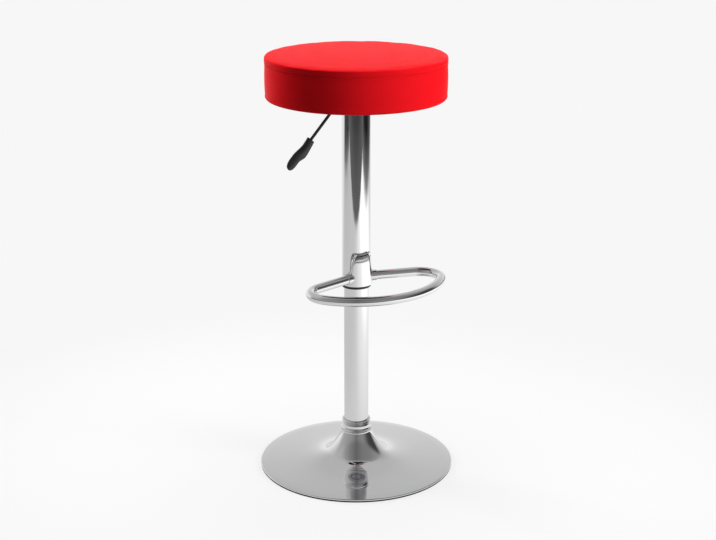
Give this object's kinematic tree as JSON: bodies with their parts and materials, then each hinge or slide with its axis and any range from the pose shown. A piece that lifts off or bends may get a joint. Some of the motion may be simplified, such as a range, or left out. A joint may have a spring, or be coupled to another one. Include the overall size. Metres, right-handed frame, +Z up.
{
  "type": "counter stool",
  "caption": "Round padded counter stool with a trumpet base, telescoping gas-lift column, looped footrest and release lever.",
  "frame": {"origin": "on the floor under the middle of the column", "axes": "+Z up along the column, -Y towards the footrest loop, -X towards the release lever"},
  "size_m": [0.4, 0.4, 0.8615],
  "materials": {
    "chrome": "polished chrome plate",
    "bare_steel": "bare machined steel",
    "black_steel": "satin black powder coat",
    "black_plastic": "fine moulded grain",
    "black_rubber": "matt rubber",
    "white_plastic": "natural moulded plastic",
    "red_vinyl": "satin grained vinyl, sewn",
    "foam": "open-cell foam",
    "plywood": "sawn birch plywood",
    "black_cloth": "pressed felt dust cloth"
  },
  "bodies": {
    "root": {"base_dish": "chrome", "base_floor_ring": "black_rubber", "base_socket": "bare_steel", "base_brace_plate": "bare_steel", "base_collar": "chrome", "column_tube": "chrome", "column_foot_plate": "bare_steel", "column_bush": "white_plastic", "bearing_lower_race": "bare_steel"},
    "bearing_cage": {"bearing_balls": "bare_steel"},
    "spindle": {"bearing_upper_race": "bare_steel", "piston_rod": "chrome", "piston": "black_plastic", "rod_buffer": "black_rubber", "rod_washer": "bare_steel", "rod_clip": "bare_steel"},
    "seat": {"gas_cylinder": "black_steel", "pressure_tube": "bare_steel", "rod_guide": "black_plastic", "cover_tube": "chrome", "cover_bush": "black_plastic", "cover_cap": "black_plastic", "cover_ring_nut": "bare_steel", "footrest_ring": "chrome", "footrest_bracket": "chrome", "seat_plate": "black_steel", "mechanism_housing": "black_steel", "taper_socket": "black_steel", "lever_pivot_pin": "bare_steel", "seat_cover": "red_vinyl", "seat_foam": "foam", "seat_board": "plywood", "seat_dust_cloth": "black_cloth", "seat_bolt_1": "bare_steel", "seat_bolt_2": "bare_steel", "seat_bolt_3": "bare_steel", "seat_bolt_4": "bare_steel", "tee_nut_1": "bare_steel", "tee_nut_2": "bare_steel", "tee_nut_3": "bare_steel", "tee_nut_4": "bare_steel"},
    "lever": {"lever_rod": "black_steel", "lever_grip": "black_plastic"},
    "release": {"release_pin": "bare_steel"}
  },
  "joints": [
    {"name": "seat_swivel", "type": "hinge", "parent": "root", "child": "spindle", "pos_m": [0, 0, 0.028], "axis": [0, 0, 1], "continuous": true},
    {"name": "bearing_roll", "type": "hinge", "parent": "root", "child": "bearing_cage", "pos_m": [0, 0, 0.028], "axis": [0, 0, 1], "continuous": true},
    {"name": "seat_height", "type": "slide", "parent": "spindle", "child": "seat", "axis": [0, 0, 1], "range_m": [-0.21, 0]},
    {"name": "lever_lift", "type": "hinge", "parent": "seat", "child": "lever", "pos_m": [-0.025, 0, 0.7625], "axis": [0, 1, 0], "range_deg": [0, 8], "stiffness_Nm_per_rad": 1.5, "springref_deg": -8.59},
    {"name": "release_press", "type": "slide", "parent": "seat", "child": "release", "axis": [0, 0, -1], "range_m": [0, 0.0038]}
  ],
  "couplings": [
    {"joint": "bearing_roll", "follows": "seat_swivel", "ratio": 0.5},
    {"joint": "release_press", "follows": "lever_lift", "m_per_rad": 0.0265}
  ]
}
